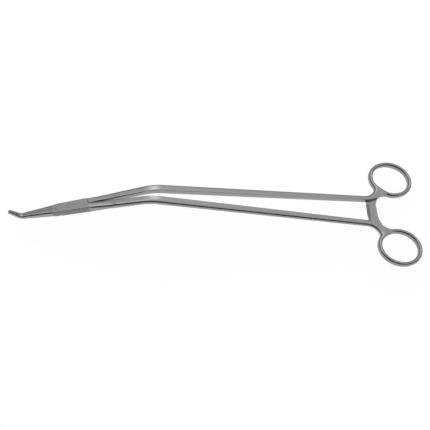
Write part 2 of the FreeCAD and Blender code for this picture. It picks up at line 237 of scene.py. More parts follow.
def outline_points(outline: Outline) -> np.ndarray:
    """Points round a rounded bar at every station.

    Each corner is a quarter circle of its own radius, and each flat between two corners gets a few
    points at fixed shares of its length.

    Args:
        outline: the bar's faces, height and radii at each station.

    Returns:
        An array of stations by points by (across, up), counterclockwise.
    """
    angles = np.radians(np.linspace(0, 90, CORNER_STEPS + 1) + np.array([0, 90, 180, 270])[:, None])
    outer = np.array([True, False, False, True])
    radius = np.where(outer, outline.outer_radius[:, None], outline.inner_radius[:, None])
    radius = np.minimum(radius, ROUND_LIMIT * outline.height[:, None])
    across = np.where(outer, outline.outer[:, None] - radius, outline.inner[:, None] + radius)
    up = np.where([True, True, False, False], 1.0, -1.0) * (outline.height[:, None] / 2 - radius)
    centres = np.stack([across, up], -1)[:, :, None, :]
    rounds = centres + radius[:, :, None, None] * np.stack([np.cos(angles), np.sin(angles)], -1)[None]
    start = rounds[:, :, -1:, :]
    end = np.roll(rounds[:, :, :1, :], -1, axis=1)
    flats = start + (end - start) * np.array(FLAT_SHARES)[:, None]
    return np.concatenate([rounds, flats], axis=2).reshape(len(outline.inner), -1, 2)


def placed_grid(stations: Stations, points: np.ndarray, side: int) -> np.ndarray:
    """Stand an outline's points up at each station, square to the slope, on one side of the middle."""
    lean_x = -np.sin(stations.slope)[:, None]
    lean_z = np.cos(stations.slope)[:, None]
    x = stations.x[:, None] + points[..., 1] * lean_x
    z = stations.z[:, None] + points[..., 1] * lean_z
    return np.stack([x, points[..., 0] * side, z], axis=-1)


def skin_faces(sections: int, around: int) -> np.ndarray:
    """Quads of a tube with a number of sections and of points round it."""
    here = np.arange(sections - 1)[:, None] * around
    further = here + around
    point = np.arange(around)
    beside = (point + 1) % around
    quads = np.stack([here + point, here + beside, further + beside, further + point], -1)
    return quads.reshape(-1, 4)


def enclosed_volume(vertices: np.ndarray, quads: np.ndarray) -> float:
    """Signed volume under a skin of quads, as the sum of its triangles' boxes with the origin."""
    first, second, third, fourth = (vertices - vertices.mean(axis=0))[quads.T]
    return float((first * np.cross(second, third) + first * np.cross(third, fourth)).sum() / 6)


def tube_mesh(name: str, vertices: np.ndarray, sections: int) -> bpy.types.Mesh:
    """Skin sections of points into a tube and close both ends with a flat face.

    Args:
        name: name of the mesh.
        vertices: points of one section after the other, in metres, in the table's frame.
        sections: how many sections they make.

    Returns:
        A closed mesh with outward faces, its sides smooth and its ends flat.
    """
    around = len(vertices) // sections
    quads = skin_faces(sections, around)
    first_end = np.arange(around)[::-1]
    last_end = np.arange(around) + (sections - 1) * around
    if enclosed_volume(vertices, quads) < 0:
        quads = quads[:, ::-1]
        first_end = first_end[::-1]
        last_end = last_end[::-1]
    mesh = bpy.data.meshes.new(name)
    mesh.from_pydata(vertices.tolist(), [], quads.tolist() + [first_end.tolist(), last_end.tolist()])
    smooth = np.ones(len(mesh.polygons), bool)
    smooth[-2:] = False
    mesh.polygons.foreach_set("use_smooth", smooth)
    ends = np.zeros(2 * len(mesh.edges), int)
    mesh.edges.foreach_get("vertices", ends)
    section = (ends // around).reshape(-1, 2)
    rim = (section[:, 0] == section[:, 1]) & ((section[:, 0] == 0) | (section[:, 0] == sections - 1))
    mesh.edges.foreach_set("use_edge_sharp", rim)
    mesh.update()
    return mesh


def bar_mesh(
    name: str, side_view: SideView, stations: Stations, outline: Outline, side: int,
) -> bpy.types.Mesh:
    """Carry an outline along a path, on the far side (+1) or the near side (-1) of the middle."""
    grid = placed_grid(stations, outline_points(outline), side)
    return tube_mesh(name, side_view.to_table(grid.reshape(-1, 3)), len(grid))


def linear_from_hex(code: str) -> tuple[float, float, float, float]:
    """Turn an sRGB hex colour into linear red, green, blue and alpha.

    Each channel follows the sRGB curve: a straight foot, then a power of 2.4.

    Args:
        code: six hex digits after a hash.

    Returns:
        The linear colour with alpha 1.
    """
    channels = np.array([int(code[i : i + 2], 16) for i in (1, 3, 5)]) / 255
    linear = np.where(channels <= 0.04045, channels / 12.92, ((channels + 0.055) / 1.055) ** 2.4)
    return (*[float(value) for value in linear], 1.0)


def direction(azimuth: float, elevation: float) -> np.ndarray:
    """Unit vector towards an azimuth and an elevation, both in degrees."""
    turned, raised = np.radians(azimuth), np.radians(elevation)
    return np.array([np.cos(raised) * np.cos(turned), np.cos(raised) * np.sin(turned), np.sin(raised)])


def empty_tree(owner: bpy.types.Material | bpy.types.World) -> bpy.types.NodeTree:
    """Turn on the nodes of a material or of the world, and clear them."""
    owner.use_nodes = True
    owner.node_tree.nodes.clear()
    return owner.node_tree


def add_node(
    tree: bpy.types.NodeTree, kind: str, settings: dict | None = None, inputs: dict | None = None,
) -> bpy.types.Node:
    """Add a node with its settings, and give its inputs values or links.

    Args:
        tree: the node tree.
        kind: Blender's type name of the node.
        settings: attributes of the node.
        inputs: by input name or number, a value, or a socket to link from.

    Returns:
        The new node.
    """
    node = tree.nodes.new(kind)
    for name, value in (settings or {}).items():
        setattr(node, name, value)
    for key, value in (inputs or {}).items():
        if isinstance(value, bpy.types.NodeSocket):
            tree.links.new(value, node.inputs[key])
        else:
            node.inputs[key].default_value = value
    return node


@dataclass(frozen=True)
class SatinSteel:
    """Martensitic stainless steel, forged, ground and satin finished along its length.

    To the eye it is an even mid grey with soft highlights, a fine grain that runs lengthwise and
    faint clouds where the wheel has passed more often. Seams, hollows and upright flanks can be
    darkened with painted shade.
    """

    name: str
    slope: float
    colour: str = "#B3B3B4"
    roughness: float = 0.30
    roughness_range: float = 0.07
    grain_across: float = 0.35 * MM    # real grain is about 0.05 mm, drawn coarser so that it shows
    grain_along: float = 9.0 * MM
    grain_depth: float = 0.004 * MM
    cloud_size: float = 14.0 * MM
    cloud_tone: float = 0.9            # how much of the colour the darkest clouds keep
    flank_tone: float = 1.0            # how much of the colour upright side faces keep under their painted shade
    seam_reach: float = 1.4 * MM       # how far from a seam its painted shade reaches
    # share of the colour kept where the painted shade in seams is darkest
    seam_tone: float = 0.25

    def seam_film(self, tree: bpy.types.NodeTree) -> bpy.types.NodeSocket:
        """Share of the colour that is left near seams and steps: painted shade, by ambient occlusion."""
        hollow = add_node(tree, "ShaderNodeAmbientOcclusion", {"samples": 8}, {"Distance": self.seam_reach})
        occlusion_shade = add_node(
            tree, "ShaderNodeMapRange", {"interpolation_type": "SMOOTHSTEP"},
            {"Value": hollow.outputs["AO"], "From Min": 0.45, "From Max": 0.85, "To Min": self.seam_tone},
        )
        return occlusion_shade.outputs["Result"]

    def flanks(self, tree: bpy.types.NodeTree) -> bpy.types.NodeSocket:
        """Share of the colour by how far a face is turned to the side: painted shade on upright flanks."""
        surface = add_node(tree, "ShaderNodeNewGeometry")
        turned = add_node(tree, "ShaderNodeSeparateXYZ", {}, {0: surface.outputs["True Normal"]})
        sideways = add_node(tree, "ShaderNodeMath", {"operation": "ABSOLUTE"}, {0: turned.outputs["Y"]})
        share = add_node(
            tree, "ShaderNodeMapRange", {},
            {
                "Value": sideways.outputs[0], "From Min": 0.85, "From Max": 0.97,
                "To Min": 1.0, "To Max": self.flank_tone,
            },
        )
        return share.outputs["Result"]

    def make(self) -> bpy.types.Material:
        """Build the material from Object coordinates turned to the grain's direction."""
        material = bpy.data.materials.new(self.name)
        tree = empty_tree(material)
        place = add_node(tree, "ShaderNodeTexCoord")
        turned = add_node(
            tree, "ShaderNodeMapping", {"vector_type": "POINT"},
            {"Vector": place.outputs["Object"], "Rotation": (0.0, self.slope, 0.0)},
        )
        stretch = (1 / self.grain_along, 1 / self.grain_across, 1 / self.grain_across)
        stretched = add_node(
            tree, "ShaderNodeVectorMath", {"operation": "MULTIPLY"},
            {0: turned.outputs["Vector"], 1: stretch},
        )
        grain = add_node(
            tree, "ShaderNodeTexNoise", {}, {"Vector": stretched.outputs[0], "Scale": 1.0, "Detail": 3.0},
        )
        clouds = add_node(
            tree, "ShaderNodeTexNoise", {},
            {
                "Vector": place.outputs["Object"], "Scale": 1 / self.cloud_size,
                "Detail": 2.0, "Roughness": 0.45,
            },
        )
        mixed = add_node(
            tree, "ShaderNodeMath", {"operation": "ADD"}, {0: grain.outputs["Fac"], 1: clouds.outputs["Fac"]},
        )
        rough = add_node(
            tree, "ShaderNodeMapRange", {},
            {
                "Value": mixed.outputs[0], "From Min": 0.7, "From Max": 1.3,
                "To Min": self.roughness - self.roughness_range / 2,
                "To Max": self.roughness + self.roughness_range / 2,
            },
        )
        base = linear_from_hex(self.colour)
        darker = tuple(value * self.cloud_tone for value in base[:3]) + (1.0,)
        tint = add_node(
            tree, "ShaderNodeMix", {"data_type": "RGBA"},
            {"Factor": clouds.outputs["Fac"], "A": darker, "B": base},
        )
        # painted shade: seams and hollows darkened by ambient occlusion, upright flanks by how far they turn
        kept = add_node(
            tree, "ShaderNodeMath", {"operation": "MULTIPLY"},
            {0: self.seam_film(tree), 1: self.flanks(tree)},
        )
        colour = add_node(
            tree, "ShaderNodeVectorMath", {"operation": "SCALE"},
            {0: tint.outputs[2], "Scale": kept.outputs[0]},
        )
        bump = add_node(
            tree, "ShaderNodeBump", {},
            {"Height": grain.outputs["Fac"], "Distance": self.grain_depth, "Strength": 1.0},
        )
        steel = add_node(
            tree, "ShaderNodeBsdfPrincipled", {},
            {
                "Base Color": colour.outputs[0], "Metallic": 1.0, "Roughness": rough.outputs["Result"],
                "Normal": bump.outputs["Normal"],
            },
        )
        add_node(tree, "ShaderNodeOutputMaterial", {}, {"Surface": steel.outputs["BSDF"]})
        return material


def show(mesh: bpy.types.Mesh) -> bpy.types.Object:
    """Put a mesh in the scene as an object of the same name."""
    thing = bpy.data.objects.new(mesh.name, mesh)
    bpy.context.scene.collection.objects.link(thing)
    return thing


def dress(piece: bpy.types.Object, material: bpy.types.Material) -> None:
    """Give a piece one material in place of whatever it has."""
    piece.data.materials.clear()
    piece.data.materials.append(material)


def add_piece(
    mesh: bpy.types.Mesh, material: bpy.types.Material, half: Half, *nodes: str,
) -> bpy.types.Object:
    """Put a mesh in the scene as a piece of a forging, in place of the CAD nodes it stands for.

    Args:
        mesh: the piece's mesh, already in place.
        material: its finish.
        half: the forging that it rides with.
        nodes: the CAD nodes it replaces.

    Returns:
        The new object.
    """
    piece = show(mesh)
    dress(piece, material)
    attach(piece, half.body)
    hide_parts(*nodes)
    log.info("%s: %d faces", piece.name, len(mesh.polygons))
    return piece


@dataclass
class Shanks:
    """The shank of each forging, in two pieces: the front with its bend, and the long handle."""

    side_view: SideView
    lock_front: float = 9.3
    lock_rear: float = 12.0
    lock_front_width: float = 6.1
    lock_rear_width: float = 7.2
    lock_thickness: float = 6.0
    lock_edge_radius: float = 0.7
    shoulder_length: float = 3.0
    long_shoulder: float = 16.0
    middle_gap: float = 0.03
    split: float = 0.15
    neck_inner: float = 0.3
    neck_width: float = 3.8
    neck_height: float = 4.7
    bend_inner: float = 1.35
    bend_growth: float = 0.7
    bend_width: float = 4.35
    bend_height: float = 4.2
    handle_inner: float = 7.2
    handle_width: float = 3.35
    handle_height: float = 3.7
    outer_edge_radius: float = 1.78
    inner_edge_radius: float = 0.7
    bend_edge_radius: float = 0.4
    handle_edge_radius: float = 0.22
    ring_edge_radius: float = 0.18
    root_start: float = 23.0
    shoulder_spans: int = 12
    straight_spans: int = 24
    bend_spans: int = 32
    handle_spans: int = 60

    def lock_half_width(self, x: float) -> float:
        """Half of the lock's tapering width at a distance from the pivot."""
        share = (x + self.lock_front) / (self.lock_front + self.lock_rear)
        return (self.lock_front_width + share * (self.lock_rear_width - self.lock_front_width)) / 2

    def lock_height(self, half: Half) -> float:
        """Height of a front shank where it leaves the lock: the whole box's or the tongue's."""
        return self.lock_thickness if half is Half.BOX else self.neck_height

    def handle_start(self) -> tuple[float, ...]:
        """Inner face, width, height and radii where the bend ends and the handle starts."""
        return (
            self.bend_inner + self.bend_growth, self.bend_width, self.bend_height,
            self.handle_edge_radius, self.outer_edge_radius,
        )

    def between(self, share: np.ndarray, start: tuple[float, ...], end: tuple[float, ...]) -> Outline:
        """Outlines part of the way from one (inner, width, height, two radii) to another, in proportion."""
        values = [first + (last - first) * share for first, last in zip(start, end)]
        inner, width, height, inner_radius, outer_radius = values
        return Outline(inner, inner + width, height, inner_radius, outer_radius)

    def front(self, half: Half) -> bpy.types.Mesh:
        """The stretch from the lock to the end of the bend.

        The width goes to the neck's by a smooth step and then to the bend's in proportion. The
        height falls from the lock's to the bend's by a smooth step over the long shoulder.
        """
        view = self.side_view
        start = self.lock_rear if half is Half.BOX else self.lock_rear + self.shoulder_length / 2
        inner = self.middle_gap if half is Half.BOX else self.split
        first = (
            inner, self.lock_half_width(start) - inner, self.lock_height(half),
            self.inner_edge_radius, self.lock_edge_radius,
        )
        radii = (self.inner_edge_radius, self.outer_edge_radius)
        neck = (self.neck_inner, self.neck_width, self.neck_height, *radii)
        bend = (
            self.bend_inner, self.bend_width, self.bend_height,
            self.bend_edge_radius, self.outer_edge_radius,
        )
        neck_end = start + self.shoulder_length
        share = np.linspace(0, 1, self.shoulder_spans + 1)
        shoulder = self.between(smooth_step(share), first, neck)
        run = np.linspace(0, 1, self.straight_spans + 1)[1:]
        straight = self.between(run, neck, bend)
        turn = np.linspace(0, 1, self.bend_spans + 1)[1:]
        round_bend = self.between(turn, bend, self.handle_start())
        stations = joined(
            view.front(start + share * self.shoulder_length),
            view.front(neck_end + run * (view.bend_start - neck_end)),
            view.bend(turn),
        )
        outline = joined(shoulder, straight, round_bend)
        fall = smooth_step(np.clip((stations.x - start) / self.long_shoulder, 0, 1))
        falling = self.lock_height(half) + (self.bend_height - self.lock_height(half)) * fall
        outline.height = np.where(fall < 1, falling, outline.height)
        return bar_mesh(half.body + "_front_shank_satin", view, stations, outline, half.shank_side)

    def handle(self, half: Half) -> bpy.types.Mesh:
        """The long straight stretch from the bend to the root of the ring, tapering in proportion."""
        view = self.side_view
        last = (
            self.handle_inner, self.handle_width, self.handle_height,
            self.ring_edge_radius, self.outer_edge_radius,
        )
        share = np.linspace(0, 1, self.handle_spans + 1)
        stations = view.handle(view.bend_end + share * (self.root_start - view.bend_end))
        outline = self.between(share, self.handle_start(), last)
        return bar_mesh(half.body + "_handle_shank_satin", view, stations, outline, half.shank_side)

    def build(self, front_steel: bpy.types.Material, handle_steel: bpy.types.Material) -> None:
        """Make and dress both stretches of both forgings."""
        for half in Half:
            add_piece(self.front(half), front_steel, half, half.body + "_front_shank")
            add_piece(self.handle(half), handle_steel, half, half.body + "_handle_shank")


@dataclass
class FingerRings:
    """The two oval finger rings, each with the root where its shank spreads into it."""

    side_view: SideView
    shanks: Shanks
    half_length: float = 13.8
    half_width: float = 11.45
    band_thickness: float = 2.8
    band_height: float = 4.4
    root_outer_meets: float = 33.0
    root_inner_meets: float = 72.0
    root_outer_turn: float = 78.0
    root_inner_turn: float = 27.0
    root_inner_radius: float = 25.0
    blend: float = 1.8
    cell: float = 0.25
    over_run: float = 0.8              # how far the grid reaches past the cut at the root
    margin: float = 1.9                # past the band's middle line, in plan
    inner_margin: float = 1.0
    half_depth: float = 3.1
    settle_rounds: int = 4             # times that the vertices are moved onto the surface

    def on_band(self, degrees: float) -> np.ndarray:
        """A plan point on the middle line of the band, by its angle from the shank end."""
        turned = np.radians(degrees)
        x = -self.half_length * np.cos(turned)
        y = self.side_view.ring_offset - self.half_width * np.sin(turned)
        return np.array([x, y])

    def band(self, x: np.ndarray, y: np.ndarray, z: np.ndarray) -> np.ndarray:
        """Distance to the band, whose section is an ellipse carried round an ellipse.

        For each ellipse the distance is taken as its level, less one, over the level's slope.
        """
        y = y - self.side_view.ring_offset
        level = np.sqrt((x / self.half_length) ** 2 + (y / self.half_width) ** 2) + TINY
        slope = np.sqrt(x**2 / self.half_length**4 + y**2 / self.half_width**4) / level + TINY
        aside = (level - 1) / slope
        thick, tall = self.band_thickness / 2, self.band_height / 2
        level = np.sqrt((aside / thick) ** 2 + (z / tall) ** 2) + TINY
        slope = np.sqrt(aside**2 / thick**4 + z**2 / tall**4) / level + TINY
        return (level - 1) / slope

    def rounded_slab(self, aside: np.ndarray, z: np.ndarray, radius: float) -> np.ndarray:
        """Distance to a slab that ends at a line, with the edge there rounded."""
        over = np.abs(z) - self.shanks.handle_height / 2 + radius
        past = aside + radius
        outside = np.hypot(np.maximum(over, 0), np.maximum(past, 0))
        return outside + np.minimum(np.maximum(over, past), 0) - radius

    def root(self, x: np.ndarray, y: np.ndarray, z: np.ndarray) -> np.ndarray:
        """Distance to the root, between an outer and an inner side that both curve away.

        Each side is a straight line that turns into a circle, and the inner one then runs straight
        into the band. The root is the part inside both sides and short of the band's middle line.
        """
        inner = self.shanks.handle_inner
        outer = inner + self.shanks.handle_width
        outer_end = self.on_band(self.root_outer_meets)
        inner_end = self.on_band(self.root_inner_meets)
        outer_turn = np.radians(self.root_outer_turn)
        radius = (outer_end[1] - outer) / (1 - np.cos(outer_turn))
        start = outer_end[0] - radius * np.sin(outer_turn)
        outer_side = np.where(x < start, y - outer, radius - np.hypot(x - start, y - outer - radius))
        turn = np.radians(self.root_inner_turn)
        arc_rise = self.root_inner_radius * (1 - np.cos(turn))
        arc_run = self.root_inner_radius * np.sin(turn)
        begin = inner_end[0] - (inner_end[1] - inner - arc_rise) / np.tan(turn) - arc_run
        round_side = np.hypot(x - begin, y - inner - self.root_inner_radius) - self.root_inner_radius
        line_side = (x - inner_end[0]) * np.sin(turn) - (y - inner_end[1]) * np.cos(turn)
        inner_side = np.where(x < begin, inner - y, np.where(x < begin + arc_run, round_side, line_side))
        chord = inner_end - outer_end
        chord = chord / np.hypot(*chord)
        past_end = (x - outer_end[0]) * chord[1] - (y - outer_end[1]) * chord[0]
        past_end = past_end * -np.sign((-self.half_length * 2 - outer_end[0]) * chord[1])
        slab = np.maximum(
            self.rounded_slab(outer_side, z, self.shanks.outer_edge_radius),
            self.rounded_slab(inner_side, z, self.shanks.ring_edge_radius),
        )
        return np.maximum(slab, past_end)

    def distance(self, points: np.ndarray) -> np.ndarray:
        """Distance to the whole ring: the smaller of band and root, with the crease between them filled.

        The fill is a smooth minimum, the smaller distance less a parabola where the two are close.
        """
        x, y, z = points[..., 0], points[..., 1], points[..., 2]
        first, second = self.band(x, y, z), self.root(x, y, z)
        share = np.clip(0.5 + 0.5 * (second - first) / self.blend, 0, 1)
        return second + (first - second) * share - self.blend * share * (1 - share)

    def slope_of(self, points: np.ndarray, reach: float = 0.02) -> np.ndarray:
        """Gradient of the distance, by differences across each point."""
        steps = np.eye(3) * reach
        changes = [self.distance(points + step) - self.distance(points - step) for step in steps]
        return np.stack(changes, axis=-1) / (2 * reach)

    def skin(self) -> tuple[np.ndarray, np.ndarray]:
        """The surface where the distance is zero, as vertices and quads.

        A grid is laid over the ring. Every cell that the surface passes gets one vertex, at the mean
        of the points where the surface crosses the cell's edges, and every grid edge that is crossed
        gets the quad between its four cells. The vertices are then moved onto the surface.
        """
        start = -self.shanks.root_start - self.over_run
        outer = self.side_view.ring_offset + self.half_width + self.margin
        low = np.array([start, self.shanks.handle_inner - self.inner_margin, -self.half_depth])
        high = np.array([self.half_length + self.margin, outer, self.half_depth])
        counts = np.ceil((high - low) / self.cell).astype(int) + 1
        axes = [low[i] + self.cell * np.arange(counts[i]) for i in range(3)]
        nodes = np.stack(np.meshgrid(*axes, indexing="ij"), axis=-1)
        value = self.distance(nodes)
        value = np.where(np.abs(value) < CLOSE, CLOSE, value)
        total = np.zeros((*[n - 1 for n in counts], 3))
        hits = np.zeros([n - 1 for n in counts])
        crossed = []
        for axis in range(3):
            here = [slice(None)] * 3
            there = [slice(None)] * 3
            here[axis], there[axis] = slice(None, -1), slice(1, None)
            here, there = tuple(here), tuple(there)
            change = (value[here] < 0) != (value[there] < 0)
            share = np.where(change, value[here] / np.where(change, value[here] - value[there], 1), 0)
            point = nodes[here] + share[..., None] * (nodes[there] - nodes[here])
            others = [i for i in range(3) if i != axis]
            for first in (0, 1):
                for second in (0, 1):
                    pick = [slice(None)] * 3
                    pick[others[0]] = slice(first, counts[others[0]] - 1 + first)
                    pick[others[1]] = slice(second, counts[others[1]] - 1 + second)
                    pick = tuple(pick)
                    total += point[pick] * change[pick][..., None]
                    hits += change[pick]
            crossed.append(change)
        used = hits > 0
        number = np.full(used.shape, -1)
        number[used] = np.arange(used.sum())
        vertices = total[used] / hits[used][:, None]
        quads = [self.quads_across(axis, crossed[axis], value, number) for axis in range(3)]
        for _ in range(self.settle_rounds):
            slope = self.slope_of(vertices)
            size = (slope * slope).sum(axis=-1, keepdims=True) + TINY
            vertices = vertices - self.distance(vertices)[:, None] * slope / size
        return vertices, np.concatenate(quads)

    def quads_across(
        self, axis: int, crossed: np.ndarray, value: np.ndarray, number: np.ndarray,
    ) -> np.ndarray:
        """Quads round the crossed grid edges of one direction, turned to face out of the ring."""
        others = [(axis + 1) % 3, (axis + 2) % 3]
        edge = np.argwhere(crossed)
        inside = np.all([(edge[:, i] > 0) & (edge[:, i] < crossed.shape[i] - 1) for i in others], axis=0)
        edge = edge[inside]
        corners = []
        for first, second in ((0, 0), (1, 0), (1, 1), (0, 1)):
            cell = edge.copy()
            cell[:, others[0]] -= 1 - first
            cell[:, others[1]] -= 1 - second
            corners.append(number[tuple(cell.T)])
        quads = np.stack(corners, axis=-1)
        rising = value[tuple(edge.T)] < 0
        return np.where(rising[:, None], quads, quads[:, ::-1])

    def mesh(self, half: Half) -> bpy.types.Mesh:
        """One ring, cut off square where the handle shank ends."""
        vertices, quads = self.skin()
        if half.shank_side < 0:
            vertices = vertices * np.array([1, -1, 1])
            quads = quads[:, ::-1]
        place = self.side_view.from_rings(vertices)
        mesh = bpy.data.meshes.new(half.body + "_finger_ring_satin")
        mesh.from_pydata(place.tolist(), [], quads.tolist())
        mesh.polygons.foreach_set("use_smooth", np.ones(len(mesh.polygons), bool))
        run = np.array([self.shanks.root_start, self.shanks.root_start + 1])
        cut_at, beyond = self.side_view.from_rings(run[:, None] * np.array([-1.0, 0.0, 0.0]))
        work = bmesh.new()
        work.from_mesh(mesh)
        cut = bmesh.ops.bisect_plane(
            work, geom=work.verts[:] + work.edges[:] + work.faces[:], dist=CLOSE,
            plane_co=Vector(cut_at), plane_no=Vector(beyond - cut_at), clear_outer=True,
        )
        rim = [item for item in cut["geom_cut"] if isinstance(item, bmesh.types.BMEdge)]
        for edge in rim:
            edge.smooth = False
        for face in bmesh.ops.contextual_create(work, geom=rim)["faces"]:
            face.smooth = False
        work.normal_update()
        work.to_mesh(mesh)
        work.free()
        mesh.update()
        return mesh

    def build(self, steel: bpy.types.Material) -> None:
        """Make and dress both rings."""
        for half in Half:
            add_piece(self.mesh(half), steel, half, half.body + "_finger_ring")


@dataclass
class Ratchet:
    """The two ratchet arms, one over the other, saw teeth between them, bevelled towards the lock."""

    side_view: SideView
    shanks: Shanks
    rings: FingerRings
    lock_side: float = -19.3           # from the ring centres, along the handles
    ring_side: float = -13.2
    reach: float = 4.0                 # past the middle
    end_radius: float = 1.1
    flare_radius: float = 18.0
    flare_turn: float = 38.0
    bevel_along: float = 1.1
    bevel_depth: float = 1.25
    root_starts: float = 8.4           # where the arm's sides close in, inside the shank
    root_width: float = 1.0
    sink: float = 0.01                 # how far the arm's outer face lies inside the handle's
    small_bevel: float = 0.35
    tooth_pitch: float = 1.5
    tooth_height: float = 0.5
    tooth_crest: float = 0.1
    tooth_fall: float = 0.02           # run of a tooth's steep side
    first_tooth: float = -3.9
    tooth_count: int = 7
    play: float = 0.04

    def tooth_profile(self) -> tuple[np.ndarray, np.ndarray]:
        """Distances from the middle and heights over the teeth's feet, of every corner of the teeth."""
        start = self.first_tooth + self.tooth_pitch * np.arange(self.tooth_count)
        end = start + self.tooth_pitch
        across = np.stack([start, end - self.tooth_crest, end - self.tooth_fall], -1).ravel()
        height = np.tile([0.0, self.tooth_height, self.tooth_height], self.tooth_count)
        across = np.concatenate([[-self.reach], across, end[-1:]])
        return across, np.concatenate([[0.0], height, [0.0]])

    def grid(self) -> np.ndarray:
        """Sections of the lower arm from its free end to its root, six points round each.

        The free end's corners are quarter circles, and the side towards the ring widens as
        radius times (1 - cos(turn)), where the arm has run in by radius times sin(turn).
        """
        corner, height = self.tooth_profile()
        round_end = self.end_radius * (1 - np.cos(np.radians(np.linspace(5, 90, 8)))) - self.reach
        ring_edge = self.side_view.ring_offset - self.rings.half_width - self.rings.band_thickness / 2
        turn = np.radians(np.linspace(0, self.flare_turn, 12))
        flare_start = ring_edge - self.flare_radius * np.sin(turn[-1])
        flare = flare_start + self.flare_radius * np.sin(turn)
        across = np.unique(np.round(np.concatenate([corner[1:], round_end, flare]), 4))
        top = np.interp(across, corner, height) - self.tooth_height - self.play
        past = np.clip(self.end_radius - (across + self.reach), 0, self.end_radius)
        tuck = self.end_radius - np.sqrt(self.end_radius**2 - past**2)
        run = np.clip((across - flare_start) / self.flare_radius, 0, 1)
        right = self.ring_side - tuck + self.flare_radius * (1 - np.sqrt(1 - run**2))
        root = np.clip((across - self.root_starts) / (ring_edge - self.root_starts), 0, 1)
        left = self.lock_side + tuck + root * (right - self.lock_side - self.root_width)
        bottom = np.full_like(across, self.sink - self.shanks.handle_height / 2)
        bevel = (self.bevel_along - tuck) * (1 - root) + self.small_bevel * root
        x = np.stack([left, left, left + bevel, right - self.small_bevel, right, right], -1)
        low_left = bottom + self.bevel_depth
        z = np.stack([top, low_left, bottom, bottom, bottom + self.small_bevel, top], -1)
        return np.stack([x, np.broadcast_to(across[:, None], x.shape), z], -1)

    def mesh(self, half: Half) -> bpy.types.Mesh:
        """The lower arm as it is, or the upper one: the lower turned over about the handles' line."""
        grid = self.grid()
        if half is Half.BOX:
            grid = grid * np.array([1.0, -1.0, -1.0])
        place = self.side_view.from_rings(grid.reshape(-1, 3))
        mesh = tube_mesh(half.body + "_ratchet_satin", place, len(grid))
        mesh.polygons.foreach_set("use_smooth", np.zeros(len(mesh.polygons), bool))
        return mesh

    def build(self, steel: bpy.types.Material) -> None:
        """Make and dress both arms."""
        for half in Half:
            add_piece(self.mesh(half), steel, half, half.body + "_ratchet")


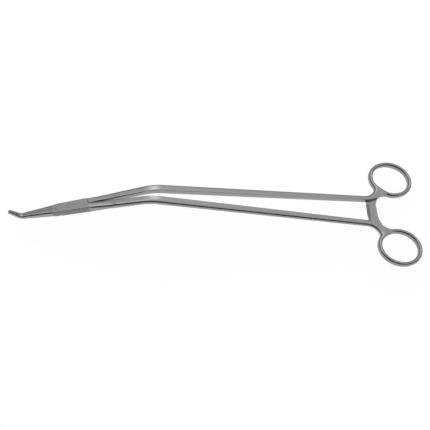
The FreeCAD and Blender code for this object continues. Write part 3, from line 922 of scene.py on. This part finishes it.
@dataclass
class Jaws:
    """The jaws with their turned-up tips, one piece for each forging, cross-toothed where they meet."""

    side_view: SideView
    shanks: Shanks
    jaw_start: float = 11.3
    root_height: float = 5.3
    root_radius: float = 1.5
    root_growth: float = 0.2           # added to half of the lock's width, for the root's
    end_width: float = 1.85
    end_height: float = 3.3
    tip_length: float = 9.6
    tip_root_width: float = 1.55
    tip_root_height: float = 2.7
    tip_end_width: float = 1.2
    tip_end_height: float = 2.3
    nose_length: float = 0.9
    jaw_gap: float = 0.06
    tooth_pitch: float = 0.9
    tooth_depth: float = 0.28
    tooth_land: float = 0.08
    plain_end: float = 0.35
    round_share: float = 0.4
    inner_edge_radius: float = 0.22
    small_edge_limit: float = 0.45     # its largest share of a jaw's width or height
    nose_turn: float = 84.0            # degrees of the nose's quarter circle that are drawn
    nose_least_width: float = 0.05

    def teeth(self, length: float, phase: int) -> tuple[np.ndarray, np.ndarray]:
        """The toothed side of a straight stretch, seen from above.

        Teeth of one jaw stand against the gaps of the other: the crests reach past the middle by
        half a tooth less half the gap, and each ends in a narrow flat.

        Args:
            length: length of the stretch.
            phase: 0 or 1, which of the two sets of places has the crests.

        Returns:
            Distances along the stretch, and the side's distance from the middle at each.
        """
        crest = (self.jaw_gap - self.tooth_depth) / 2
        steps = 2 * int((length - 2 * self.plain_end) / self.tooth_pitch)
        first = (length - steps * self.tooth_pitch / 2) / 2
        number = np.arange(steps + 1)
        middle = first + number * self.tooth_pitch / 2
        side = np.where(number % 2 == phase, crest, crest + self.tooth_depth)
        run = np.stack([middle - self.tooth_land / 2, middle + self.tooth_land / 2], -1).ravel()
        side = np.repeat(side, 2)
        flank = (self.tooth_pitch - self.tooth_land) / 4
        run = np.concatenate([[0, run[0] - flank], run, [run[-1] + flank, length]])
        side = np.concatenate([[self.jaw_gap / 2] * 2, side, [self.jaw_gap / 2] * 2])
        return run, side

    def outline(
        self, inner: np.ndarray, width: np.ndarray, height: np.ndarray, radius: np.ndarray,
    ) -> Outline:
        """A jaw's outline: the toothed side has small edges and the outer side large ones."""
        small = np.minimum(self.inner_edge_radius, self.small_edge_limit * np.minimum(width, height))
        large = np.minimum(radius, ROUND_LIMIT * np.minimum(height, 2 * width))
        return Outline(inner, width, height, small, large)

    def mesh(self, half: Half, phase: int) -> bpy.types.Mesh:
        """One jaw: a tapering straight stretch, the turn, the straight tip and its rounded nose."""
        view = self.side_view
        length = view.jaw_length - view.tip_tangent - self.jaw_start
        run, side = self.teeth(length, phase)
        share = run / length
        root_width = self.shanks.lock_half_width(-self.jaw_start) + self.root_growth
        end_radius = self.round_share * self.end_height
        straight = self.outline(
            side,
            root_width + share * (self.end_width - root_width),
            self.root_height + share * (self.end_height - self.root_height),
            self.root_radius + share * (end_radius - self.root_radius),
        )
        turn = np.linspace(0, 1, 19)[1:-1]
        height = self.end_height + turn * (self.tip_root_height - self.end_height)
        width = self.end_width + turn * (self.tip_root_width - self.end_width)
        middle = np.full_like(turn, self.jaw_gap / 2)
        bend = self.outline(middle, width, height, self.round_share * height)
        tip_straight = self.tip_length - self.nose_length
        tip_run, tip_side = self.teeth(tip_straight - view.tip_tangent, phase)
        share = tip_run / tip_run[-1]
        height = self.tip_root_height + share * (self.tip_end_height - self.tip_root_height)
        width = self.tip_root_width + share * (self.tip_end_width - self.tip_root_width)
        tip = self.outline(tip_side, width, height, self.round_share * height)
        nose_turn = np.radians(np.linspace(0, self.nose_turn, 12)[1:])
        rounding = np.cos(nose_turn)
        width = np.maximum(self.tip_end_width * rounding, self.jaw_gap / 2 + self.nose_least_width)
        height = self.tip_end_height * rounding
        nose = self.outline(np.full_like(width, self.jaw_gap / 2), width, height, self.round_share * height)
        stations = joined(
            view.front(-self.jaw_start - run),
            view.tip_turn(turn),
            view.tip(view.tip_tangent + tip_run),
            view.tip(tip_straight + np.sin(nose_turn) * self.nose_length),
        )
        outline = joined(straight, bend, tip, nose)
        mesh = bar_mesh(half.body + "_jaw_satin", view, stations, outline, half.jaw_side)
        self.flatten_teeth(mesh)
        return mesh

    def flatten_teeth(self, mesh: bpy.types.Mesh) -> None:
        """Shade the toothed side flat: it is the flat between the two small edges of the outline."""
        flat_spans = len(FLAT_SHARES) + 1
        per_corner = CORNER_STEPS + flat_spans
        around = 4 * per_corner
        first = per_corner + CORNER_STEPS
        quads = len(mesh.polygons) - 2
        corners = np.zeros(4 * quads + 2 * around, int)
        mesh.loops.foreach_get("vertex_index", corners)
        place = corners[: 4 * quads].reshape(-1, 4) % around
        toothed = ((place >= first) & (place <= first + flat_spans)).all(axis=1)
        smooth = np.ones(len(mesh.polygons), bool)
        smooth[:quads] = ~toothed
        smooth[-2:] = False
        mesh.polygons.foreach_set("use_smooth", smooth)

    def build(self, steel: bpy.types.Material) -> None:
        """Make and dress both jaws."""
        for phase, half in enumerate(Half):
            add_piece(self.mesh(half, phase), steel, half, half.body + "_jaw", half.body + "_tip")


@dataclass(frozen=True)
class CameraPlace:
    """The camera, at the photograph's viewing angle. Lengths are in millimetres."""

    aim: tuple[float, float, float] = (-1.285, 1.299, 0.0)
    azimuth: float = -103.416
    elevation: float = 62.590
    roll: float = 11.941
    distance: float = 576.561
    focal_length: float = 75.818

    def build(self) -> bpy.types.Object:
        """Aim the camera from a distance, then roll it about its own line of sight."""
        back = direction(self.azimuth, self.elevation)
        data = bpy.data.cameras.new("photo_camera")
        data.lens = self.focal_length
        data.sensor_fit = "HORIZONTAL"
        data.sensor_width = 36.0
        data.clip_start = 0.01
        data.clip_end = 20.0
        camera = bpy.data.objects.new("photo_camera", data)
        level = Vector(-back).to_track_quat("-Z", "Y").to_matrix().to_4x4()
        place = Matrix.Translation(Vector((np.array(self.aim) + back * self.distance) * MM))
        camera.matrix_world = place @ level @ Matrix.Rotation(np.radians(self.roll), 4, "Z")
        bpy.context.scene.collection.objects.link(camera)
        bpy.context.scene.camera = camera
        return camera


@dataclass(frozen=True)
class Softbox:
    """A round softbox that faces the clamp. Angles are in degrees as seen from the clamp."""

    name: str
    azimuth: float
    elevation: float
    half_angle: float
    brightness: float
    distance: float = 1400.0

    def build(self) -> bpy.types.Object:
        """Place the disc at its distance; its power is its brightness times pi times its area."""
        out = direction(self.azimuth, self.elevation)
        radius = self.distance * MM * np.tan(np.radians(self.half_angle))
        data = bpy.data.lights.new(self.name, "AREA")
        data.shape = "DISK"
        data.size = 2 * float(radius)
        data.energy = float(self.brightness * np.pi * np.pi * radius**2)
        lamp = bpy.data.objects.new(self.name, data)
        lamp.location = Vector(out * self.distance * MM)
        lamp.rotation_mode = "QUATERNION"
        lamp.rotation_quaternion = Vector(out).to_track_quat("Z", "Y")
        bpy.context.scene.collection.objects.link(lamp)
        return lamp


@dataclass(frozen=True)
class Studio:
    """White floor, grey room, softboxes over the far side and the left, and dark flags all round."""

    floor_level: float = -10.5         # the open clamp's lowered ring still clears it
    floor_size: float = 24000.0        # so large that low views don't see past it
    floor_colour: str = "#F2F2F2"
    room_heights: tuple[float, ...] = (0.0, 0.45, 0.72, 1.0)
    room_strengths: tuple[float, ...] = (0.5, 0.5, 0.72, 0.7)
    floor_glow: float = 0.9
    floor_shading: float = 0.2         # share of its lit colour that is added, and keeps the shadow
    floor_mirrored: float = 0.65       # its brightness in the steel, before the light on it is added
    softboxes: tuple[Softbox, ...] = (
        Softbox("back_softbox", 95.0, 54.0, 13.0, 1.3),
        Softbox("left_softbox", 185.0, 57.0, 15.0, 0.75),
    )
    flag_radius: float = 1300.0
    flag_far_top: float = 10.0         # elevation of the flags' top edge, seen from the clamp
    flag_near_top: float = 52.0
    flag_left_share: float = 0.3
    flag_colour: str = "#2A2A2B"

    def floor(self) -> bpy.types.Object:
        """A large flat sheet that is white to the camera and in reflections, and keeps the shadow."""
        half = self.floor_size * MM / 2
        level = self.floor_level * MM
        mesh = bpy.data.meshes.new("floor")
        corners = [(-half, -half, level), (half, -half, level), (half, half, level), (-half, half, level)]
        mesh.from_pydata(corners, [], [(0, 1, 2, 3)])
        floor = show(mesh)
        material = bpy.data.materials.new("white_sweep_paper")
        tree = empty_tree(material)
        colour = linear_from_hex(self.floor_colour)
        paper = add_node(tree, "ShaderNodeBsdfDiffuse", {}, {"Color": colour})
        path = add_node(tree, "ShaderNodeLightPath")
        seen = path.outputs["Is Camera Ray"]
        for kind in ("Is Glossy Ray", "Is Transmission Ray"):
            either = add_node(
                tree, "ShaderNodeMath", {"operation": "MAXIMUM"}, {0: seen, 1: path.outputs[kind]},
            )
            seen = either.outputs[0]
        faded = tuple(value * self.floor_shading for value in colour[:3]) + (1.0,)
        faint = add_node(tree, "ShaderNodeBsdfDiffuse", {}, {"Color": faded})
        strength = add_node(
            tree, "ShaderNodeMapRange", {},
            {
                "Value": path.outputs["Is Glossy Ray"],
                "To Min": self.floor_glow, "To Max": self.floor_mirrored,
            },
        )
        glow = add_node(
            tree, "ShaderNodeEmission", {},
            {"Color": (1.0, 1.0, 1.0, 1.0), "Strength": strength.outputs["Result"]},
        )
        both = add_node(tree, "ShaderNodeAddShader", {}, {0: glow.outputs[0], 1: faint.outputs[0]})
        mixed = add_node(
            tree, "ShaderNodeMixShader", {}, {0: seen, 1: paper.outputs[0], 2: both.outputs[0]},
        )
        add_node(tree, "ShaderNodeOutputMaterial", {}, {"Surface": mixed.outputs[0]})
        dress(floor, material)
        return floor

    def flags(self) -> bpy.types.Object:
        """A dark curtain round the clamp, out of the camera's sight, that darkens its upright edges.

        The curtain is part of a cylinder. Its top edge is low on the far side and rises towards the
        camera's side by the square of half of one less the sine of the azimuth, and to the left by a
        share of the cosine.
        """
        azimuth = np.radians(np.arange(0, 360, 5.0))
        rise = (0.5 - 0.5 * np.sin(azimuth)) ** 2
        rise = rise + self.flag_left_share * np.maximum(0, -np.cos(azimuth))
        top = np.radians(self.flag_far_top + (self.flag_near_top - self.flag_far_top) * rise)
        levels = np.stack([np.full_like(top, self.floor_level), self.flag_radius * np.tan(top)])
        ring = np.stack([self.flag_radius * np.cos(azimuth), self.flag_radius * np.sin(azimuth)], -1)
        grid = np.concatenate([np.broadcast_to(ring, (2, *ring.shape)), levels[..., None]], axis=-1)
        mesh = bpy.data.meshes.new("dark_flags")
        mesh.from_pydata((grid.reshape(-1, 3) * MM).tolist(), [], skin_faces(2, len(azimuth)).tolist())
        flags = show(mesh)
        flags.visible_camera = False
        material = bpy.data.materials.new("black_flag_cloth")
        tree = empty_tree(material)
        cloth = add_node(tree, "ShaderNodeBsdfDiffuse", {}, {"Color": linear_from_hex(self.flag_colour)})
        add_node(tree, "ShaderNodeOutputMaterial", {}, {"Surface": cloth.outputs[0]})
        dress(flags, material)
        return flags

    def room(self) -> None:
        """Light from all round, as grey levels by height above the horizon."""
        world = bpy.data.worlds.new("studio_room")
        bpy.context.scene.world = world
        tree = empty_tree(world)
        place = add_node(tree, "ShaderNodeTexCoord")
        height = add_node(tree, "ShaderNodeSeparateXYZ", {}, {0: place.outputs["Generated"]})
        ramp = add_node(tree, "ShaderNodeValToRGB", {}, {"Fac": height.outputs["Z"]})
        ramp.color_ramp.interpolation = "EASE"
        elements = ramp.color_ramp.elements
        for index, (position, strength) in enumerate(zip(self.room_heights, self.room_strengths)):
            element = elements[index] if index < 2 else elements.new(position)
            element.position = position
            element.color = (strength, strength, strength, 1.0)
        light = add_node(tree, "ShaderNodeBackground", {}, {"Color": ramp.outputs["Color"], "Strength": 1.0})
        add_node(tree, "ShaderNodeOutputWorld", {}, {"Surface": light.outputs[0]})

    def build(self) -> None:
        """Set up the floor, the light and the plain view of colours."""
        self.floor()
        self.flags()
        self.room()
        for softbox in self.softboxes:
            softbox.build()
        bpy.context.scene.view_settings.view_transform = "Standard"


def corners(bounds: tuple[Vector, Vector]) -> list[list[float]]:
    """The two corners of a box as plain lists."""
    return [[float(value) for value in corner] for corner in bounds]


def main() -> None:
    """Dress the clamp and set up the studio."""
    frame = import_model()
    side_view = SideView.from_record(frame["record"])
    log.info("front %.3f, handle %.3f, bend %.3f", side_view.front_length, side_view.handle_length,
             float(np.degrees(side_view.shank_bend)))
    lock_slope = float(np.arctan2(side_view.lock_line[2], side_view.lock_line[0]))
    # every steel gets painted shade in its seams and hollows; the lock's also gets painted shade on its
    # upright flanks
    lock_steel = SatinSteel("satin_stainless_lock", lock_slope, flank_tone=0.6).make()
    shank_steel = SatinSteel("satin_stainless_shanks", lock_slope, seam_tone=0.65).make()
    jaw_steel = SatinSteel("satin_stainless_jaws", lock_slope, colour="#BBBBBC", seam_tone=0.75).make()
    handle_steel = SatinSteel("satin_stainless_handles", lock_slope - side_view.shank_bend).make()
    for node in frame["nodes"].values():
        dress(node, lock_steel)
    shanks = Shanks(side_view)
    shanks.build(shank_steel, handle_steel)
    rings = FingerRings(side_view, shanks)
    rings.build(handle_steel)
    Ratchet(side_view, shanks, rings).build(handle_steel)
    Jaws(side_view, shanks).build(jaw_steel)
    CameraPlace().build()
    Studio().build()


if __name__ == "__main__":
    main()
